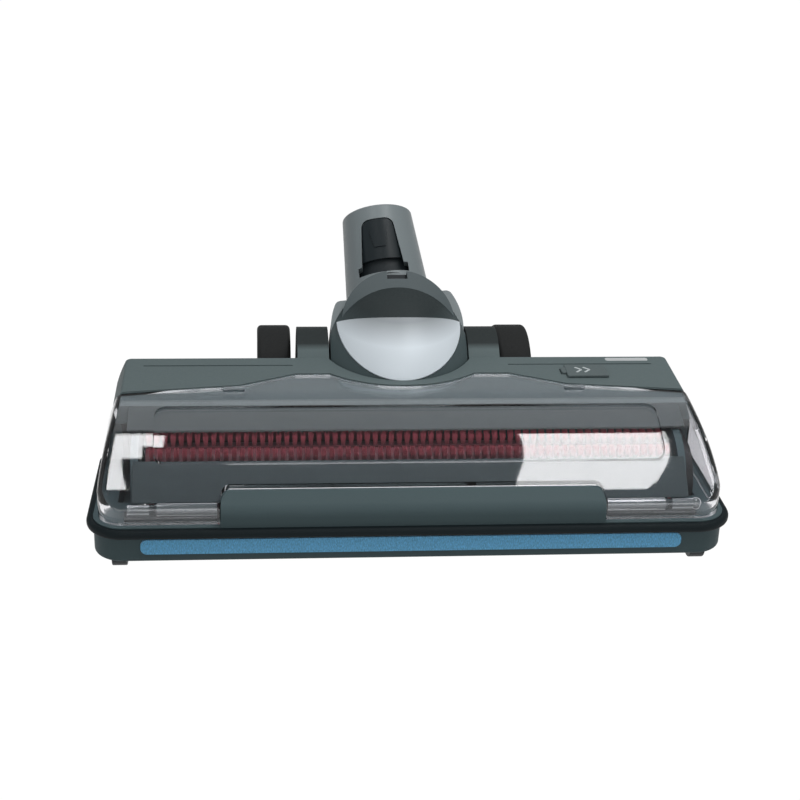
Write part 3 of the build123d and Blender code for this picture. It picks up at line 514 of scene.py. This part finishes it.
# %% Assign finishes
FINISHES = {
    "base_housing": SLATE, "rear_deck": DECK, "drum_hood": HOOD, "collar": COLLAR, "neck_tube": NECK_GREY,
    "clear_cover": CLEAR, "corner_light_left": BAR, "corner_light_right": BAR, "status_lens": STATUS,
    "front_bumper": BUMPER, "velour_strip": VELOUR, "silver_plate": SILVER, "release_button": BUTTON,
    "wand_sleeve": BLACK, "roller_core": CORE, "roller_pulley": BLACK, "motor_pulley": BLACK,
    "front_roller_left": BLACK, "front_roller_right": BLACK, "cover_latch": LATCH, "drive_belt": BELT,
    "wheel_rim_left": RIM, "wheel_rim_right": RIM, "wheel_tyre_left": TYRE, "wheel_tyre_right": TYRE,
    "circuit_board": BOARD, "collar_catch": BLACK,
}


def dress():
    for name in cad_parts:
        solid = bpy.data.objects[name]
        finish = FINISHES.get(name, STEEL)
        solid.data.materials.clear()
        solid.data.materials.append(finish)


dress()
print("dressed:", len(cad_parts))


# %% [markdown]
# ## Bristle tufts
# On the solid roller each row of bristles is a plain comb. Here it becomes what it stands for: tufts
# of thin three-sided bristles that fan out a little. One tuft is drawn bristle by bristle in edit
# mode, and so is a second one half a step further along and half a pitch round. An array repeats
# both along the roller, slats join the roots, and a spin about the roller's axis makes the other
# rows. A small random push on every point takes away the perfect order.

# %% Bristle tufts
ROLLER_AXIS = Vector((0, -45.913, 23.5)) * MM
PAIRS = 6
TUFTS = 65
TUFT_STEP = 3.3 * MM
ROOT_R = 15.2 * MM
TIP_R = 20.2 * MM
BRISTLE_ROOT = 0.28 * MM
BRISTLE_TIP = 0.16 * MM
COLUMN_STEP = 0.36 * MM
COLUMN_FAN = 0.04
DEPTH_STEP = 0.7 * MM
DEPTH_FAN = 0.05
DISORDER = 0.2 * MM
SLAT_R = 15.1 * MM
SLAT_WIDE = 3.8 * MM
SLAT_THICK = 1.0 * MM


def start_piece(name):
    bpy.ops.object.select_all(action="DESELECT")
    piece = bpy.data.objects.new(name, bpy.data.meshes.new(name))
    bpy.context.collection.objects.link(piece)
    bpy.context.view_layer.objects.active = piece
    piece.select_set(True)
    bpy.ops.object.mode_set(mode="EDIT")
    return piece


def end_piece(piece, finish, body):
    bpy.ops.object.mode_set(mode="OBJECT")
    piece.data.materials.append(finish)
    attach(piece, body)
    return piece


def soften(piece, width, segments):
    # Rounds the sharp edges, in object mode
    bpy.ops.object.mode_set(mode="OBJECT")
    edge = piece.modifiers.new("edge", "BEVEL")
    edge.width = width
    edge.segments = segments
    bpy.ops.object.modifier_apply(modifier="edge")


def bristle_finish(name, painted_root_shade, tip):
    # Painted shade: dark at the root, bright at the tip; the share comes from the distance to the roller's
    # axis
    material, tree, shader = new_material(name)
    link = tree.links.new
    shader.inputs["Roughness"].default_value = 0.55
    shader.inputs["Sheen Weight"].default_value = 0.15
    place = tree.nodes.new("ShaderNodeTexCoord")
    away = tree.nodes.new("ShaderNodeVectorMath")
    away.operation = "SUBTRACT"
    away.inputs[1].default_value = ROLLER_AXIS
    flat = tree.nodes.new("ShaderNodeVectorMath")
    flat.operation = "MULTIPLY"
    flat.inputs[1].default_value = (0, 1, 1)
    reach = tree.nodes.new("ShaderNodeVectorMath")
    reach.operation = "LENGTH"
    share = tree.nodes.new("ShaderNodeMapRange")
    share.inputs["From Min"].default_value = ROOT_R
    share.inputs["From Max"].default_value = TIP_R
    factor, inner, outer, mixed = colour_mix(tree)
    inner.default_value = painted_root_shade
    outer.default_value = tip
    link(place.outputs["Object"], away.inputs[0])
    link(away.outputs[0], flat.inputs[0])
    link(flat.outputs[0], reach.inputs[0])
    link(reach.outputs["Value"], share.inputs["Value"])
    link(share.outputs["Result"], factor)
    link(mixed, shader.inputs["Base Color"])
    return material


def one_bristle(x, y, fan_x, fan_y, phase):
    length = TIP_R - ROOT_R
    middle = Vector((x + fan_x * length / 2, y + fan_y * length / 2, (ROOT_R + TIP_R) / 2))
    middle.rotate(Matrix.Rotation(phase, 3, "X"))
    bpy.ops.mesh.primitive_cone_add(
        vertices=3, radius1=BRISTLE_ROOT, radius2=BRISTLE_TIP, depth=length, end_fill_type="NGON",
        location=ROLLER_AXIS + middle, rotation=(phase - math.atan(fan_y), math.atan(fan_x), 0))


def bristle_rows(finish):
    piece = start_piece("bristles")
    first = -TUFT_STEP * (TUFTS - 0.5) / 2
    for x, phase in ((first, 0.0), (first + TUFT_STEP / 2, math.pi / PAIRS)):
        for column in (-1.5, -0.5, 0.5, 1.5):
            for depth in (-2, -1, 0, 1, 2):
                across = x + column * COLUMN_STEP
                one_bristle(across, depth * DEPTH_STEP, column * COLUMN_FAN, depth * DEPTH_FAN, phase)
    bpy.ops.object.mode_set(mode="OBJECT")
    along = piece.modifiers.new("along", "ARRAY")
    along.count = TUFTS
    along.use_relative_offset = False
    along.use_constant_offset = True
    along.constant_offset_displace = (TUFT_STEP, 0, 0)
    bpy.ops.object.modifier_apply(modifier="along")
    bpy.ops.object.mode_set(mode="EDIT")
    bpy.ops.mesh.select_all(action="SELECT")
    bpy.ops.transform.vertex_random(offset=DISORDER, seed=3)
    slat = (TUFT_STEP * TUFTS, SLAT_WIDE, SLAT_THICK)
    for phase in (0.0, math.pi / PAIRS):
        seat = Vector((0, 0, SLAT_R))
        seat.rotate(Matrix.Rotation(phase, 3, "X"))
        bpy.ops.mesh.primitive_cube_add(
            size=1, location=ROLLER_AXIS + seat, rotation=(phase, 0, 0), scale=slat)
    bpy.ops.mesh.select_all(action="SELECT")
    turn = 2 * math.pi * (PAIRS - 1) / PAIRS
    bpy.ops.mesh.spin(steps=PAIRS - 1, dupli=True, angle=turn, center=ROLLER_AXIS, axis=(1, 0, 0))
    end_piece(piece, finish, "brush_roller")
    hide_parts("bristle_tufts")
    return piece


# The dark root colour is painted shade deep in the tufts
RED = bristle_finish("red_bristle", painted_root_shade=(0.100, 0.026, 0.032, 1), tip=(0.540, 0.105, 0.135, 1))
bristles = bristle_rows(RED)
print("bristles:", len(bristles.data.polygons), "faces, size", [round(d, 4) for d in bristles.dimensions])


# %% [markdown]
# ## Sheets under the cover
# The roller shows only through a slot. In front of it the chamber's wall runs up under the cover as a
# thin curved lip, whose upper edge is the pale line across the window. Behind it the deck comes
# forward as an apron. Both follow the cover from inside, so each is a flat section swept about the
# cover's own axis, between two angles counted from straight up towards the front.

# %% Lip and apron
COVER_AXIS = Vector((0, -22.413, -21.7)) * MM
SHEET_R = 72.1 * MM
SHEET_THICK = 1.3 * MM
LIP_LENGTH = 224 * MM
APRON_LENGTH = 230 * MM


def swept_sheet(name, front_deg, rear_deg, length, finish):
    piece = start_piece(name)
    front = math.radians(front_deg)
    out = Vector((0, -math.sin(front), math.cos(front)))
    middle = COVER_AXIS + out * SHEET_R
    bpy.ops.mesh.primitive_plane_add(size=1, location=middle, rotation=(front + math.pi / 2, 0, 0))
    bpy.ops.transform.resize(value=(length, SHEET_THICK, SHEET_THICK), center_override=middle)
    turn = math.radians(front_deg - rear_deg)
    bpy.ops.mesh.spin(steps=12, angle=turn, center=COVER_AXIS, axis=(1, 0, 0))
    bpy.ops.mesh.select_all(action="SELECT")
    bpy.ops.mesh.normals_make_consistent(inside=False)
    soften(piece, 0.35 * MM, 2)
    return end_piece(piece, finish, "head")


lip = swept_sheet("chamber_lip", front_deg=46.5, rear_deg=32.4, length=LIP_LENGTH, finish=UNDER)
apron = swept_sheet("deck_apron", front_deg=20.3, rear_deg=8.0, length=APRON_LENGTH, finish=UNDER)
print("lip:", [round(d, 4) for d in lip.dimensions], "apron:", [round(d, 4) for d in apron.dimensions])


# %% [markdown]
# ## Latch cap and arrows
# The latch slides in a slot of the deck, and a thin cap on it hides the slot. Two pale arrowheads are
# printed on the cap and point the way it slides. Each stroke is a flat bar lying on the cap, turned
# about the upright axis.

# %% Cap and arrows
CAP_MIDDLE = Vector((79.9, -10.0, 55.7)) * MM
CAP_SIZE = Vector((18.0, 11.6, 1.2)) * MM
STROKE = Vector((0.9, 3.6, 0.1)) * MM
STROKE_OFF = 1.25 * MM
STROKE_TURN = math.radians(44)
ARROW_STEPS = (-3.4 * MM, 0.2 * MM)


def latch_cap(finish):
    piece = start_piece("latch_cap")
    bpy.ops.mesh.primitive_cube_add(size=1, location=CAP_MIDDLE, scale=CAP_SIZE)
    soften(piece, 0.4 * MM, 3)
    return end_piece(piece, finish, "latch")


def arrows(finish):
    piece = start_piece("latch_arrows")
    top = CAP_MIDDLE.z + CAP_SIZE.z / 2
    for step in ARROW_STEPS:
        for side in (-1, 1):
            middle = Vector((CAP_MIDDLE.x + step, CAP_MIDDLE.y + side * STROKE_OFF, top))
            bpy.ops.mesh.primitive_cube_add(
                size=1, location=middle, rotation=(0, 0, side * STROKE_TURN), scale=STROKE)
    return end_piece(piece, finish, "latch")


PRINT = grained("pale_print", (0.50, 0.54, 0.54), 0.5)
print("cap:", len(latch_cap(LATCH).data.polygons), "arrows:", len(arrows(PRINT).data.polygons), "faces")


# %% [markdown]
# ## Screw bosses
# The two outer housing screws run close under the deck's side walls. A round boss over each one closes
# the wall there. Its place is read from the screws themselves.

# %% Bosses over the outer screws
SCREW_HEAD_R = 3.0 * MM
BOSS_R = 2.5 * MM
BOSS_LOW = 21.6 * MM
BOSS_CAP = 1.2 * MM


def screw_boss(name, side, finish):
    points = [v.co for v in bpy.data.objects["housing_screws"].data.vertices]
    outer = max(side * p.x for p in points) - SCREW_HEAD_R
    rear = max(p.y for p in points) - SCREW_HEAD_R
    top = max(p.z for p in points) + BOSS_CAP
    middle = (side * outer, rear, (top + BOSS_LOW) / 2)
    piece = start_piece(name)
    bpy.ops.mesh.primitive_cylinder_add(vertices=32, radius=BOSS_R, depth=top - BOSS_LOW, location=middle)
    soften(piece, 0.6 * MM, 3)
    bpy.ops.object.shade_smooth_by_angle(angle=math.radians(40))
    print(name, "at", round(side * outer, 4), round(rear, 4), "top", round(top, 4))
    return end_piece(piece, finish, "head")


screw_boss("screw_boss_left", -1, DECK)
screw_boss("screw_boss_right", 1, DECK)
